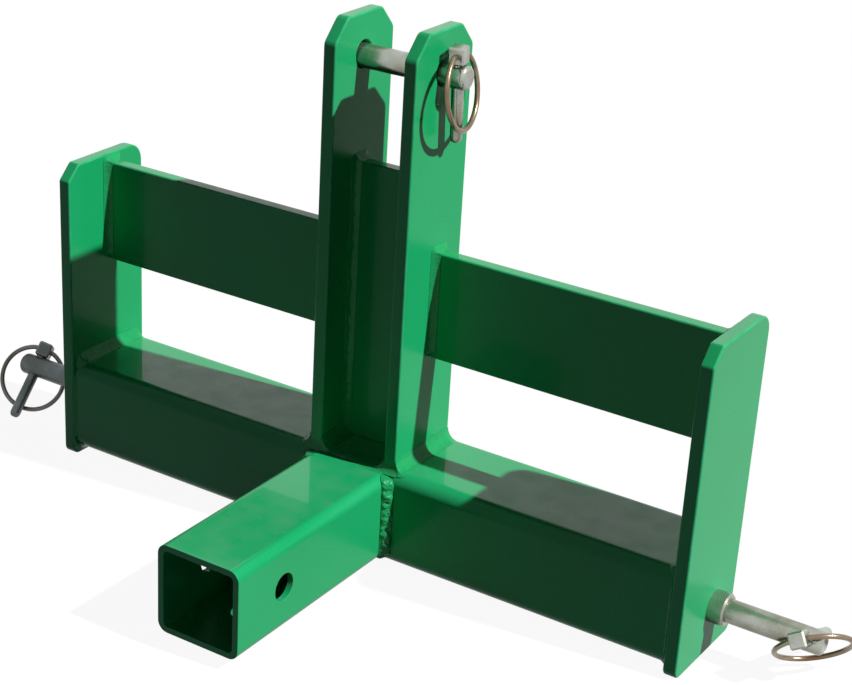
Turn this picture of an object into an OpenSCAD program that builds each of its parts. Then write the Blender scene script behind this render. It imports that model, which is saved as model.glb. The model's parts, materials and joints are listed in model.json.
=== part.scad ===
// Three-point drawbar with a square receiver tube, for a small tractor.
// The origin is the centre of the receiver's cross-pin hole, +X to the right along that hole,
// +Y away from the receiver's mouth and +Z up. All sizes are millimetres and degrees.

/* [Receiver tube] */
// Outside width and height of the square receiver tube
recv_out = 63.5; // [58:0.5:76]
// Wall of the receiver tube
recv_wall = 4.5; // [3.5:0.5:6.5]
// Outside corner radius of the receiver tube
recv_corner_r = 7.5; // [7:0.5:12]
// Length of the receiver tube in front of the cross tube
recv_len = 163; // [120:1:240]
// Diameter of the cross-pin hole through both side walls
recv_hole_d = 19; // [16:0.5:22]
// Distance of the cross-pin hole from the receiver's mouth
recv_hole_back = 48; // [35:1:70]

/* [Cross tube] */
// Width of the drawbar over its two end plates
frame_span = 508; // [400:1:700]
// Height of the cross tube
cross_h = 69; // [58:0.5:80]
// Depth of the cross tube, front to back
cross_d = 76.2; // [66:0.1:90]
// Wall of the cross tube
cross_wall = 4.8; // [3:0.1:6.4]
// Outside corner radius of the cross tube
cross_corner_r = 9.5; // [7:0.5:12]

/* [End plates] */
// Thickness of each end plate
end_plate_t = 9.5; // [6:0.5:14]
// Height of each end plate
end_plate_h = 226.8; // [200:0.1:300]
// How far the end plates reach below the cross tube
end_plate_drop = 5.7; // [4:0.1:25]
// How far the end plates stand past the cross tube, at its front and at its back
end_plate_past = 1.9; // [1:0.1:10]
// Size of the straight cut on the top front corner
end_plate_cut = 11; // [6:1:16]
// Radius of the top back corner
end_plate_round = 13; // [6:1:20]
// Radius of the two bottom corners
end_plate_heel = 6; // [3:1:12]

/* [Mast uprights] */
// Length of the uprights above the cross tube
mast_h = 295.75; // [260:0.25:360]
// Thickness of each upright
upright_t = 9.5; // [6:0.5:14]
// Gap between the two uprights
clevis_gap = 51; // [40:0.5:70]
// How far the uprights' edges stay in from the cross tube's front and back
upright_inset = 4.85; // [2:0.05:12]
// Depth of the straight cut on each top corner, front to back
mast_cut_w = 14; // [8:1:20]
// Height of the straight cut on each top corner
mast_cut_h = 15; // [8:1:22]
// Radius of the roundings at both ends of those cuts
mast_corner_r = 6; // [3:1:8]
// Distance of the top pin hole's centre below the uprights' tops
mast_hole_down = 27.6; // [22:0.1:45]
// Diameter of the top pin hole in both uprights
mast_hole_d = 18.3; // [17:0.1:24]

/* [Web plate] */
// Height of the plate between the uprights, from the cross tube up
web_h = 198; // [150:1:220]
// Thickness of the plate between the uprights
web_t = 9.5; // [6:0.5:14]

/* [Brace bars] */
// Height of the flat brace bars
brace_h = 75; // [50:1:100]
// Thickness of the flat brace bars
brace_t = 9.5; // [6:0.5:14]
// Distance of the brace bars' front face behind the cross tube's front face
brace_back = 39.8; // [20:0.1:50]
// Distance of the brace bars' top edge below the end plates' tops
brace_down = 5.7; // [3:0.1:20]

/* [Hitch pins] */
// Diameter of the two hitch pins and of the top link pin
pin_d = 15.88; // [14:0.01:16.4]
// Distance of the hitch pins' axis from the end plates' back edge
hitch_pin_in = 32.4; // [24:0.1:50]
// Distance of the hitch pins' axis above the end plates' bottom edge
hitch_pin_up = 33.05; // [24:0.05:60]
// How far the left hitch pin stands out of its end plate
left_pin_l = 83; // [70:1:120]
// How far the right hitch pin stands out of its end plate
right_pin_l = 76; // [70:1:120]
// Diameter of the collar against the end plate
collar_d = 22; // [19:0.5:28]
// Length of the collar
collar_l = 11; // [5:0.5:16]
// Distance of the linch pin's hole from a hitch pin's end
hitch_linch_in = 12.5; // [12:0.5:20]
// Radius of the rounding on the pins' ends
pin_end_r = 3; // [1:0.5:5]

/* [Top link pin] */
// How far the top link pin stands out past the right upright
top_pin_past = 18; // [16:0.5:30]
// Distance of the linch pin's hole from the top link pin's end
top_linch_in = 8.2; // [7.6:0.1:9]
// Diameter of the top link pin's head
top_head_d = 25; // [21:0.5:34]
// Thickness of the top link pin's head
top_head_t = 6; // [3:0.5:10]

/* [Linch pins] */
// Diameter of a linch pin's shank
linch_d = 8; // [5:0.1:8.2]
// Length of a linch pin's shank below its head
linch_l = 51.5; // [50:0.5:70]
// Width of a linch pin's head along the ring's hinge line
linch_head_w = 11; // [10:0.5:16]
// Thickness of a linch pin's head across the hinge line
linch_head_t = 11; // [9:0.5:13]
// Height of a linch pin's head
linch_head_h = 11.5; // [10:0.5:15]
// Diameter of the spring ring's wire
ring_wire_d = 3.5; // [2:0.1:3.8]
// Radius of the spring ring, to the middle of its wire
ring_r = 24.5; // [23:0.5:30]
// Radius of the bend where the ring turns into the head
ring_bend_r = 6; // [4:0.5:8]
// Lean of the left linch pin about the hitch pin's axis
left_roll = -41; // [-60:1:-20]
// Turn of the left linch pin about its own shank
left_turn = 25; // [15:1:35]
// Tilt of the left ring off its shank
left_tilt = 9.5; // [9:0.5:16]
// Lean of the right linch pin about the hitch pin's axis
right_roll = 68.5; // [50:0.5:80]
// Turn of the right linch pin about its own shank
right_turn = 31; // [28:1:40]
// Tilt of the right ring off its shank
right_tilt = -17; // [-24:0.5:-15]
// Lean of the top linch pin about the top link pin's axis
top_roll = 3; // [-10:0.5:10]
// Turn of the top linch pin about its own shank
top_turn = -80.5; // [-90:0.5:-70]
// Tilt of the top ring off its shank
top_tilt = 8; // [7.5:0.5:12]

/* [Welds] */
// Leg of the beads beside the receiver tube
recv_bead = 8; // [4:0.5:10]
// Leg of the beads at the uprights' feet
mast_bead = 6; // [3:0.5:8]
// Leg of the small beads across the uprights' front and back edges
mast_return = 3.5; // [2:0.5:4.5]
// Leg of the beads at the ends of the brace bars and the web plate
brace_bead = 5.5; // [3:0.5:8]
// Leg of the beads between the cross tube and the end plates
plate_bead = 7; // [4:0.5:9]

/* [Fits] */
// Radial clearance of a hitch pin's root in its end plate
root_fit = 0.1; // [0.05:0.05:0.3]
// Radial clearance of a linch pin in the pin that it locks
linch_fit = 0.3; // [0.1:0.05:0.4]
// Radial clearance of the ring's wire in the linch pin's head
ring_fit = 0.1; // [0.05:0.05:0.2]
// Gap under a part that only rests on its seat
seat_gap = 0.15; // [0.05:0.05:0.3]

/* [Hidden] */
$fn = 72;

paint = "#1f9a58";
weld_paint = "#23a561";
zinc = "#b9bdbb";
spring_steel = "#9c958a";

// Small rounding of sheared corners and the steps in a rounded corner
sheared_r = 3;
arc_steps = 6;
// How far a cut runs past the piece that it cuts
cut = 1;
// Length of a linch pin's domed tip, and the radius of the tip's flat end as a share of the shank's
tip_l = 4;
tip_r_share = 0.35;
// Bevel on turned edges and on the linch pins' heads
edge_bevel = 1.2;
// Gap between a head and the ring's bend, and half the gap between the ring's two ends
ring_gap = 0.8;
ring_end_gap = 0.5;
// How much the wire swells in its bends, and how far the other stretches run into them
bend_swell = 0.04;
bend_lap = 0.3;
// Centre of a bead's crown behind its corner, as a share of the leg
bead_crown = 0.6;
// How far a bead stops short of its bar's or tube's edge
bead_stop = 3;
// How far the cross tube's beads stop short of the plates' edges and of the tube's front and back,
// and a filled groove's sink
bead_inset = 1;
groove_sink = 0.15;

// Heights and depths that every piece shares
face_y = recv_len - recv_hole_back;
back_y = face_y + cross_d;
mid_y = face_y + cross_d / 2;
tube_top = cross_h / 2;
plate_low = -cross_h / 2 - end_plate_drop;
plate_top = plate_low + end_plate_h;
plate_front = face_y - end_plate_past;
plate_rear = back_y + end_plate_past;
plate_in = frame_span / 2 - end_plate_t;
mast_top = tube_top + mast_h;
mast_front = face_y + upright_inset;
mast_rear = back_y - upright_inset;
mast_in = clevis_gap / 2;
mast_out = mast_in + upright_t;
brace_top = plate_top - brace_down;
brace_low = brace_top - brace_h;
brace_front = face_y + brace_back;
pin_r = pin_d / 2;
hitch_y = plate_rear - hitch_pin_in;
hitch_z = plate_low + hitch_pin_up;
hole_z = mast_top - mast_hole_down;
top_pin_z = hole_z - mast_hole_d / 2 + pin_r + seat_gap;
top_pin_end = mast_out + top_pin_past;
left_linch_x = -(frame_span / 2 + left_pin_l - hitch_linch_in);
right_linch_x = frame_span / 2 + right_pin_l - hitch_linch_in;
top_linch_x = top_pin_end - top_linch_in;

// The ring's hinge line above the locked pin's axis, and the ring's own geometry
head_low = pin_r + seat_gap;
hinge_up = head_low + linch_head_h / 2;
bend_x = linch_head_w / 2 + ring_gap;
ring_drop = ring_bend_r + sqrt(pow(ring_r - ring_bend_r, 2) - pow(bend_x, 2));
bend_angle = asin(bend_x / (ring_r - ring_bend_r));

function unit(v) = v / norm(v);
function short_way(a) = a > 180 ? a - 360 : a < -180 ? a + 360 : a;

// Points of the arc of radius r that rounds corner q between its neighbours p and s
function corner_arc(p, q, s, r) =
    let (
        u = unit(p - q), w = unit(s - q), half = acos(u * w) / 2,
        c = q + unit(u + w) * r / sin(half),
        from = q + u * r / tan(half) - c, to = q + w * r / tan(half) - c,
        a0 = atan2(from[1], from[0]), turn = short_way(atan2(to[1], to[0]) - a0)
    )
    [for (i = [0 : arc_steps]) c + r * [cos(a0 + turn * i / arc_steps), sin(a0 + turn * i / arc_steps)]];

// Outline through corners given as [a, b, radius]
function rounded(path) =
    let (n = len(path), flat = [for (p = path) [p[0], p[1]]])
    [for (i = [0 : n - 1])
        each path[i][2] <= 0 ? [flat[i]]
            : corner_arc(flat[(i + n - 1) % n], flat[i], flat[(i + 1) % n], path[i][2])];

// Lays a flat shape drawn in Y and Z along X
module along_x(length, x = 0) {
    translate([x, 0, 0]) rotate([90, 0, 90]) linear_extrude(length) children();
}

// Lays a flat shape drawn in X and Z along Y, from y0
module along_y(y0, length) {
    translate([0, y0 + length, 0]) rotate([90, 0, 0]) linear_extrude(length) children();
}

module rounded_rect(w, h, r) {
    square([w - 2 * r, h], center = true);
    square([w, h - 2 * r], center = true);
    for (sx = [-1, 1], sy = [-1, 1])
        translate([sx * (w / 2 - r), sy * (h / 2 - r)]) circle(r);
}

module tube_ring(w, h, r, wall) {
    difference() {
        rounded_rect(w, h, r);
        rounded_rect(w - 2 * wall, h - 2 * wall, r - wall);
    }
}

// Outside of the cross tube as one solid, for the beads that lie on it
module cross_stock() {
    along_x(2 * plate_in, -plate_in)
        translate([mid_y, 0]) rounded_rect(cross_d, cross_h, cross_corner_r);
}

module cross_tube() {
    color(paint) along_x(2 * plate_in, -plate_in)
        translate([mid_y, 0]) tube_ring(cross_d, cross_h, cross_corner_r, cross_wall);
}

module receiver_tube() {
    color(paint) difference() {
        along_y(-recv_hole_back, recv_len)
            tube_ring(recv_out, recv_out, recv_corner_r, recv_wall);
        rotate([0, 90, 0]) cylinder(d = recv_hole_d, h = recv_out + 2 * cut, center = true);
    }
}

module end_plate(side) {
    outline = rounded([
        [plate_front, plate_low, end_plate_heel],
        [plate_rear, plate_low, end_plate_heel],
        [plate_rear, plate_top, end_plate_round],
        [plate_front + end_plate_cut, plate_top, sheared_r],
        [plate_front, plate_top - end_plate_cut, sheared_r]
    ]);
    color(paint) difference() {
        along_x(end_plate_t, side > 0 ? plate_in : -plate_in - end_plate_t) polygon(outline);
        translate([side * (plate_in + end_plate_t / 2), hitch_y, hitch_z]) rotate([0, 90, 0])
            cylinder(r = pin_r + root_fit, h = end_plate_t + 2 * cut, center = true);
    }
}

module left_end_plate() { end_plate(-1); }
module right_end_plate() { end_plate(1); }

module upright(side) {
    outline = rounded([
        [mast_front, tube_top, 0],
        [mast_rear, tube_top, 0],
        [mast_rear, mast_top - mast_cut_h, mast_corner_r],
        [mast_rear - mast_cut_w, mast_top, mast_corner_r],
        [mast_front + mast_cut_w, mast_top, mast_corner_r],
        [mast_front, mast_top - mast_cut_h, mast_corner_r]
    ]);
    color(paint) difference() {
        along_x(upright_t, side > 0 ? mast_in : -mast_out) polygon(outline);
        translate([side * (mast_in + upright_t / 2), mid_y, hole_z]) rotate([0, 90, 0])
            cylinder(d = mast_hole_d, h = upright_t + 2 * cut, center = true);
    }
}

module left_upright() { upright(-1); }
module right_upright() { upright(1); }

// Plate that ties the two uprights together, from the cross tube up
module centre_web_plate() {
    color(paint) translate([-mast_in, mid_y - web_t / 2, tube_top]) cube([clevis_gap, web_t, web_h]);
}

module brace_bar(x0, x1) {
    color(paint) translate([x0, brace_front, brace_low]) cube([x1 - x0, brace_t, brace_h]);
}

module left_brace_bar() { brace_bar(-plate_in, -mast_out); }
module right_brace_bar() { brace_bar(mast_out, plate_in); }

// Quarter-round end of a turned pin, as profile points up to length l
function round_end(r, l) =
    [for (i = [0 : arc_steps])
        [r - pin_end_r + pin_end_r * cos(90 * i / arc_steps), l - pin_end_r + pin_end_r * sin(90 * i / arc_steps)]];

// Turned pin with its axis along X, drawn as [radius, distance] points
module turned(profile) {
    rotate([0, 90, 0]) rotate_extrude() polygon(profile);
}

// Cross hole for a linch pin at x, leaning by roll
module linch_hole(x, roll) {
    translate([x, 0, 0]) rotate([roll, 0, 0])
        cylinder(d = linch_d + 2 * linch_fit, h = pin_d + 2 * cut, center = true);
}

// Hitch pin with its plate's outer face at x = 0: root in the plate, collar, pin and rounded end
module hitch_pin(side, l, roll) {
    collar_r = collar_d / 2;
    profile = concat(
        [[0, -end_plate_t], [pin_r, -end_plate_t], [pin_r, 0], [collar_r, 0],
         [collar_r, collar_l - edge_bevel], [collar_r - edge_bevel, collar_l], [pin_r, collar_l]],
        round_end(pin_r, l), [[0, l]]
    );
    color(zinc) translate([side * frame_span / 2, hitch_y, hitch_z])
        difference() {
            if (side > 0) turned(profile);
            else mirror([1, 0, 0]) turned(profile);
            linch_hole(side * (l - hitch_linch_in), roll);
        }
}

module left_hitch_pin() { hitch_pin(-1, left_pin_l, left_roll); }
module right_hitch_pin() { hitch_pin(1, right_pin_l, right_roll); }

// Top link pin, with its head outside the left upright
module top_link_pin() {
    start = -mast_out - seat_gap;
    head_r = top_head_d / 2;
    profile = concat(
        [[0, start - top_head_t], [head_r - edge_bevel, start - top_head_t],
         [head_r, start - top_head_t + edge_bevel], [head_r, start], [pin_r, start]],
        round_end(pin_r, top_pin_end), [[0, top_pin_end]]
    );
    color(zinc) translate([0, mid_y, top_pin_z]) difference() {
        turned(profile);
        linch_hole(top_linch_x, top_roll);
    }
}

// Places a linch pin or ring: its shank's axis crosses the locked pin's axis at the local origin
module at_linch(x, y, z, roll, turn) {
    translate([x, y, z]) rotate([roll, 0, 0]) rotate([0, 0, turn]) children();
}

module bevelled_rect(w, h, b) {
    polygon([[-w / 2 + b, 0], [w / 2 - b, 0], [w / 2, b], [w / 2, h - b],
             [w / 2 - b, h], [-w / 2 + b, h], [-w / 2, h - b], [-w / 2, b]]);
}

module linch_head() {
    w = linch_head_w;
    t = linch_head_t;
    h = linch_head_h;
    translate([0, 0, head_low]) difference() {
        intersection() {
            translate([0, -t / 2, 0]) linear_extrude(h) bevelled_rect(w, t, edge_bevel);
            translate([0, t, 0]) rotate([90, 0, 0]) linear_extrude(2 * t) bevelled_rect(w, h, edge_bevel);
            translate([-w, 0, 0]) rotate([90, 0, 90]) linear_extrude(2 * w) bevelled_rect(t, h, edge_bevel);
        }
        translate([0, 0, h / 2]) rotate([0, 90, 0])
            cylinder(d = ring_wire_d + 2 * ring_fit, h = w + 2 * cut, center = true);
    }
}

module linch_shank() {
    r = linch_d / 2;
    flat_r = r * tip_r_share;
    dome = [for (i = [0 : arc_steps])
        [flat_r + (r - flat_r) * cos(90 * i / arc_steps), tip_l - linch_l - tip_l * sin(90 * i / arc_steps)]];
    translate([0, 0, head_low]) rotate_extrude()
        polygon(concat([[0, edge_bevel], [r, edge_bevel]], dome, [[0, -linch_l]]));
}

module linch_pin() {
    color(zinc) {
        linch_head();
        linch_shank();
    }
}

// Open spring ring: a wire arc, two bends and two ends that lie in the head's cross hole.
// The wire swells a little in its bends, and the straight and round stretches run into them.
module linch_ring(tilt) {
    wire_r = ring_wire_d / 2;
    lap_angle = bend_lap / ring_r * 180 / PI;
    color(spring_steel) translate([0, 0, hinge_up]) rotate([tilt, 0, 0]) {
        for (sx = [-1, 1]) {
            translate([sx * ring_end_gap, 0, 0]) rotate([0, sx * 90, 0])
                cylinder(r = wire_r, h = bend_x + bend_lap - ring_end_gap);
            translate([sx * bend_x, 0, -ring_bend_r]) rotate([90, 0, 0])
                rotate([0, 0, sx > 0 ? 90 - bend_angle : 90]) rotate_extrude(angle = bend_angle)
                    translate([ring_bend_r, 0]) circle(wire_r + bend_swell);
        }
        translate([0, 0, -ring_drop]) rotate([90, 0, 0]) rotate([0, 0, 90 + bend_angle - lap_angle])
            rotate_extrude(angle = 360 - 2 * (bend_angle - lap_angle))
                translate([ring_r, 0]) circle(wire_r);
    }
}

module left_linch_pin() {
    at_linch(left_linch_x, hitch_y, hitch_z, left_roll, left_turn) linch_pin();
}
module right_linch_pin() {
    at_linch(right_linch_x, hitch_y, hitch_z, right_roll, right_turn) linch_pin();
}
module top_linch_pin() {
    at_linch(top_linch_x, mid_y, top_pin_z, top_roll, top_turn) linch_pin();
}
module left_linch_ring() {
    at_linch(left_linch_x, hitch_y, hitch_z, left_roll, left_turn) linch_ring(left_tilt);
}
module right_linch_ring() {
    at_linch(right_linch_x, hitch_y, hitch_z, right_roll, right_turn) linch_ring(right_tilt);
}
module top_linch_ring() {
    at_linch(top_linch_x, mid_y, top_pin_z, top_roll, top_turn) linch_ring(top_tilt);
}

// Section of a crowned fillet bead in the corner of two faces, both at 0, reaching behind them by root
module bead_section(leg, root = 0) {
    back = leg * bead_crown;
    intersection() {
        translate([-back, -back]) circle(norm([leg + back, back]));
        translate([-root, -root]) square(leg + root);
    }
}

// Beads beside the receiver tube and the filled grooves over and under its end
module receiver_welds() {
    tall = min(recv_out, cross_h) / 2;
    color(weld_paint) difference() {
        union() {
            for (sx = [-1, 1]) mirror([sx < 0 ? 1 : 0, 0, 0])
                translate([recv_out / 2, face_y, -tall + bead_stop]) linear_extrude(2 * (tall - bead_stop))
                    mirror([0, 1]) intersection() {
                        bead_section(recv_bead, cross_corner_r);
                        translate([0, -cross_corner_r]) square(recv_bead + 2 * cross_corner_r);
                    }
            for (sz = [-1, 1]) mirror([0, 0, sz < 0 ? 1 : 0])
                along_y(face_y, cross_corner_r) intersection() {
                    rounded_rect(recv_out - 2 * groove_sink, recv_out - 2 * groove_sink,
                        recv_corner_r - groove_sink);
                    translate([-recv_out / 2, tall - cross_corner_r]) square([recv_out, cross_corner_r]);
                }
        }
        cross_stock();
    }
}

// Beads along both faces of each upright's foot, and small ones across its front and back edges
module upright_welds() {
    deep = cross_corner_r;
    color(weld_paint) difference() {
        for (side = [-1, 1]) mirror([side < 0 ? 1 : 0, 0, 0]) {
            for (x_face = [[mast_out, 0], [mast_in, 1]])
                translate([x_face[0], 0, tube_top]) along_y(mast_front, mast_rear - mast_front)
                    mirror([x_face[1], 0]) intersection() {
                        bead_section(mast_bead, deep);
                        translate([0, -deep]) square(mast_bead + 2 * deep);
                    }
            for (y_edge = [[mast_front, 1], [mast_rear, 0]])
                along_x(upright_t + 2 * mast_return, mast_in - mast_return) translate([y_edge[0], tube_top])
                    mirror([y_edge[1], 0]) intersection() {
                        bead_section(mast_return, deep);
                        translate([0, -deep]) square(mast_return + 2 * deep);
                    }
        }
        cross_stock();
        receiver_welds();
        centre_web_plate();
    }
}

// Upright beads on the web plate's front and back, from the uprights' foot beads up
module web_welds() {
    color(weld_paint) for (side = [-1, 1]) mirror([side < 0 ? 1 : 0, 0, 0])
        for (y_side = [-1, 1])
            translate([mast_in, mid_y + y_side * web_t / 2, tube_top + mast_bead])
                linear_extrude(web_h - mast_bead - bead_stop)
                    mirror([1, 0]) scale([1, y_side]) bead_section(brace_bead);
}

// Upright beads at both ends of each brace bar, on its front and on its back
module brace_welds() {
    long = brace_h - 2 * bead_stop;
    color(weld_paint) translate([0, 0, brace_low + bead_stop])
        for (side = [-1, 1]) mirror([side < 0 ? 1 : 0, 0, 0]) {
            for (y_face = [[brace_front, -1], [brace_front + brace_t, 1]]) {
                translate([plate_in, y_face[0], 0]) linear_extrude(long)
                    mirror([1, 0]) scale([1, y_face[1]]) bead_section(brace_bead);
                translate([mast_out, y_face[0], 0]) linear_extrude(long)
                    scale([1, y_face[1]]) bead_section(brace_bead);
            }
        }
}

// Beads over and under both ends of the cross tube, and small ones down its front and back
module end_plate_welds() {
    small = min(end_plate_past, plate_bead);
    flat_h = cross_h - 2 * cross_corner_r;
    color(weld_paint) for (side = [-1, 1]) mirror([side < 0 ? 1 : 0, 0, 0]) {
        difference() {
            for (bead = [[plate_bead, 0], [min(plate_bead, end_plate_drop - bead_inset), 1]])
                mirror([0, 0, bead[1]]) translate([plate_in, 0, tube_top])
                    along_y(face_y + bead_inset, cross_d - 2 * bead_inset)
                        mirror([1, 0]) intersection() {
                            bead_section(bead[0], cross_corner_r);
                            translate([0, -cross_corner_r]) square(bead[0] + 2 * cross_corner_r);
                        }
            cross_stock();
        }
        translate([plate_in, face_y, -flat_h / 2]) linear_extrude(flat_h)
            rotate(180) bead_section(small);
        translate([plate_in, back_y, -flat_h / 2]) linear_extrude(flat_h)
            mirror([1, 0]) bead_section(small);
    }
}

cross_tube();
receiver_tube();
left_end_plate();
right_end_plate();
left_upright();
right_upright();
left_brace_bar();
centre_web_plate();
right_brace_bar();
left_hitch_pin();
right_hitch_pin();
top_link_pin();
left_linch_pin();
right_linch_pin();
top_linch_pin();
left_linch_ring();
right_linch_ring();
top_linch_ring();
receiver_welds();
upright_welds();
web_welds();
brace_welds();
end_plate_welds();
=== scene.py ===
"""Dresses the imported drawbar: painted steel with rounded edges, weld beads, plated pins and wire rings.

Every length is in metres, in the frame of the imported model: +X to the right along the receiver's
cross-pin hole, +Y away from the receiver's mouth, +Z up.
"""

import json
import logging
import math
from dataclasses import dataclass
from enum import Enum
from typing import ClassVar, Iterable, Sequence

import bmesh
import bpy
from mathutils import Matrix, Vector, noise


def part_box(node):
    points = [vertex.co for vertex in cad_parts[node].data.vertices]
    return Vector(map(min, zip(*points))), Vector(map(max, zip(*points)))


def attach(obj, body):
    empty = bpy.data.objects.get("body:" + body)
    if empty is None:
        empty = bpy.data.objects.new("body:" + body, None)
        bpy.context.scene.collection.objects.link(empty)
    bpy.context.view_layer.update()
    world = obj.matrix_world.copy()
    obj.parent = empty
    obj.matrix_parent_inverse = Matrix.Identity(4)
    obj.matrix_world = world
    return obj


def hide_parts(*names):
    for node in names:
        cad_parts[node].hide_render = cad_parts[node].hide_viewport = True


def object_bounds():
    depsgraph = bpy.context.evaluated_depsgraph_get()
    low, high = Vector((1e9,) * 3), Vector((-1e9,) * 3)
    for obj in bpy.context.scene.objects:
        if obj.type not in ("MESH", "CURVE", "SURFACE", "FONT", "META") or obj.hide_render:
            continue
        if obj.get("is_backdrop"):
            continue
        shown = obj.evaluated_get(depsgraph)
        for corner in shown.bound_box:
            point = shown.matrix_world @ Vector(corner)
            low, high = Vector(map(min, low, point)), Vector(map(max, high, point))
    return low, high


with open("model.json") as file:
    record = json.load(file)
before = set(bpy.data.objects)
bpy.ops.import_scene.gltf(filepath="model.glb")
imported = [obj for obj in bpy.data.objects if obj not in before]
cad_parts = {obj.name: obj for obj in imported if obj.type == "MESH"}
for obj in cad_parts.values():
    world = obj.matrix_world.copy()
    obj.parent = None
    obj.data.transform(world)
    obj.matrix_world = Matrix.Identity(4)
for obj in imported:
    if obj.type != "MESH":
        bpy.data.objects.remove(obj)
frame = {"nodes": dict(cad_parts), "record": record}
log = logging.getLogger("drawbar")

MM = 0.001
PHOTO_WIDTH, PHOTO_HEIGHT = 852, 685


class Slot(Enum):
    """The record's material slots."""

    PAINT = "green_paint"
    PLATE = "zinc_plate"
    SPRING = "spring_steel"


class Side(Enum):
    """The two ends of the drawbar, as the sign of their X."""

    LEFT = -1
    RIGHT = 1


def body_of(node: str) -> str:
    """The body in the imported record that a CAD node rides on."""
    for body, members in frame["record"]["behaviour"]["bodies"].items():
        if node in members:
            return body
    raise ValueError(f"{node} is in no body")


def feed(tree: bpy.types.NodeTree, socket: bpy.types.NodeSocket, value: object) -> None:
    """Gives an input of a tree its value: a link from a field or a socket, or else a plain default."""
    if isinstance(value, Field):
        value = value.socket
    if isinstance(value, bpy.types.NodeSocket):
        tree.links.new(value, socket)
    else:
        socket.default_value = value


class Field:
    """A value in a node tree that can be added to, multiplied and compared in plain Python."""

    def __init__(self, tree: bpy.types.NodeTree, socket: bpy.types.NodeSocket) -> None:
        """Wraps the output socket that carries the value."""
        self.tree = tree
        self.socket = socket

    def math(self, operation: str, *others: "Field | float") -> "Field":
        """Puts a Math node after this value.

        Args:
            operation: The Math node's operation.
            others: The node's further values.

        Returns:
            The node's result.
        """
        node = self.tree.nodes.new("ShaderNodeMath")
        node.operation = operation
        for place, value in zip(node.inputs, (self, *others)):
            feed(self.tree, place, value)
        return Field(self.tree, node.outputs[0])

    def __add__(self, other: "Field | float") -> "Field":
        """The sum of two values."""
        return self.math("ADD", other)

    def __sub__(self, other: "Field | float") -> "Field":
        """The difference of two values."""
        return self.math("SUBTRACT", other)

    def __mul__(self, other: "Field | float") -> "Field":
        """The product of two values."""
        return self.math("MULTIPLY", other)

    def __truediv__(self, other: "Field | float") -> "Field":
        """The quotient of two values."""
        return self.math("DIVIDE", other)


class TreeMaker:
    """Shared steps of every node tree: sockets, nodes and links."""

    def __init__(self, name: str, kind: str) -> None:
        """Starts an empty GeometryNodeTree or ShaderNodeTree with its two ends."""
        self.tree = bpy.data.node_groups.new(name, kind)
        self.start = self.tree.nodes.new("NodeGroupInput")
        self.end = self.tree.nodes.new("NodeGroupOutput")

    def takes(self, name: str, kind: str, value: object = None) -> None:
        """Adds a named input of a socket type, which is given without its prefix, and its default."""
        socket = self.tree.interface.new_socket(name, in_out="INPUT", socket_type=f"NodeSocket{kind}")
        if value is not None:
            socket.default_value = value

    def gives(self, name: str, kind: str) -> None:
        """Adds a named output of that socket type."""
        self.tree.interface.new_socket(name, in_out="OUTPUT", socket_type=f"NodeSocket{kind}")

    def given(self, name: str) -> Field:
        """The value of a named input."""
        return Field(self.tree, self.start.outputs[name])

    def node(self, kind: str, **settings: object) -> bpy.types.Node:
        """Adds a node.

        Args:
            kind: The node's type.
            settings: Properties of the node, and its inputs where no property has that name, with a line
                for each space.

        Returns:
            The node.
        """
        made = self.tree.nodes.new(kind)
        owned = {key: value for key, value in settings.items() if hasattr(made, key)}
        for key, value in owned.items():
            setattr(made, key, value)
        for key, value in settings.items():
            if key not in owned:
                feed(self.tree, made.inputs[key.replace("_", " ")], value)
        return made

    def value(self, kind: str, **settings: object) -> Field:
        """Adds a node and gives its first output."""
        return self.field(self.node(kind, **settings))

    def field(self, node: bpy.types.Node, output: str | int = 0) -> Field:
        """The named output of a node, as a value."""
        return Field(self.tree, node.outputs[output])

    def finish(self, **outputs: Field) -> bpy.types.NodeTree:
        """Links the outputs, given by their names with a line for each space, and gives the finished tree."""
        for name, value in outputs.items():
            feed(self.tree, self.end.inputs[name.replace("_", " ")], value)
        return self.tree

    def finish_mesh(self, mesh: Field) -> bpy.types.NodeTree:
        """Smooths a swept mesh, makes it real, gives it the finish and ends the tree."""
        for kind in ("GeometryNodeSetShadeSmooth", "GeometryNodeRealizeInstances"):
            mesh = self.value(kind, Geometry=mesh)
        return self.finish(Geometry=self.value("GeometryNodeSetMaterial", Geometry=mesh,
                                               Material=self.given("Finish")))


class SurfaceMaker(TreeMaker):
    """A shader group that works at a place on the object, with the steps that such groups share."""

    def __init__(self, name: str, colours: Sequence[str] = (), **numbers: float) -> None:
        """Starts the group.

        Args:
            name: Name of the group.
            colours: Names of its colour inputs.
            numbers: Defaults of its number inputs, with a line for each space in the name.
        """
        super().__init__(name, "ShaderNodeTree")
        self.takes("Place", "Vector")
        for colour in colours:
            self.takes(colour, "Color")
        for key, value in numbers.items():
            self.takes(key.replace("_", " "), "Float", value)

    def noise(self, scale: Field | float, detail: float) -> Field:
        """Soft noise over the object."""
        node = self.node("ShaderNodeTexNoise", Vector=self.given("Place"), Scale=scale, Detail=detail)
        return self.field(node, "Fac")

    def span(self, value: Field, low: float, high: float) -> Field:
        """A value's way from low to high, as a share that stays within 0 and 1."""
        return self.value("ShaderNodeMapRange", Value=value, From_Min=low, From_Max=high)

    def height_of_facing(self) -> Field:
        """How far a face looks up, from -1 to 1."""
        normal = self.field(self.node("ShaderNodeNewGeometry"), "Normal")
        return self.field(self.node("ShaderNodeSeparateXYZ", Vector=normal), "Z")

    def blend(self, first: str, second: str, mask: Field) -> Field:
        """Mixes two colour inputs by a mask."""
        node = self.node("ShaderNodeMix", data_type="RGBA", Factor=mask)
        feed(self.tree, node.inputs[6], self.given(first))
        feed(self.tree, node.inputs[7], self.given(second))
        return self.field(node, 2)


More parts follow.
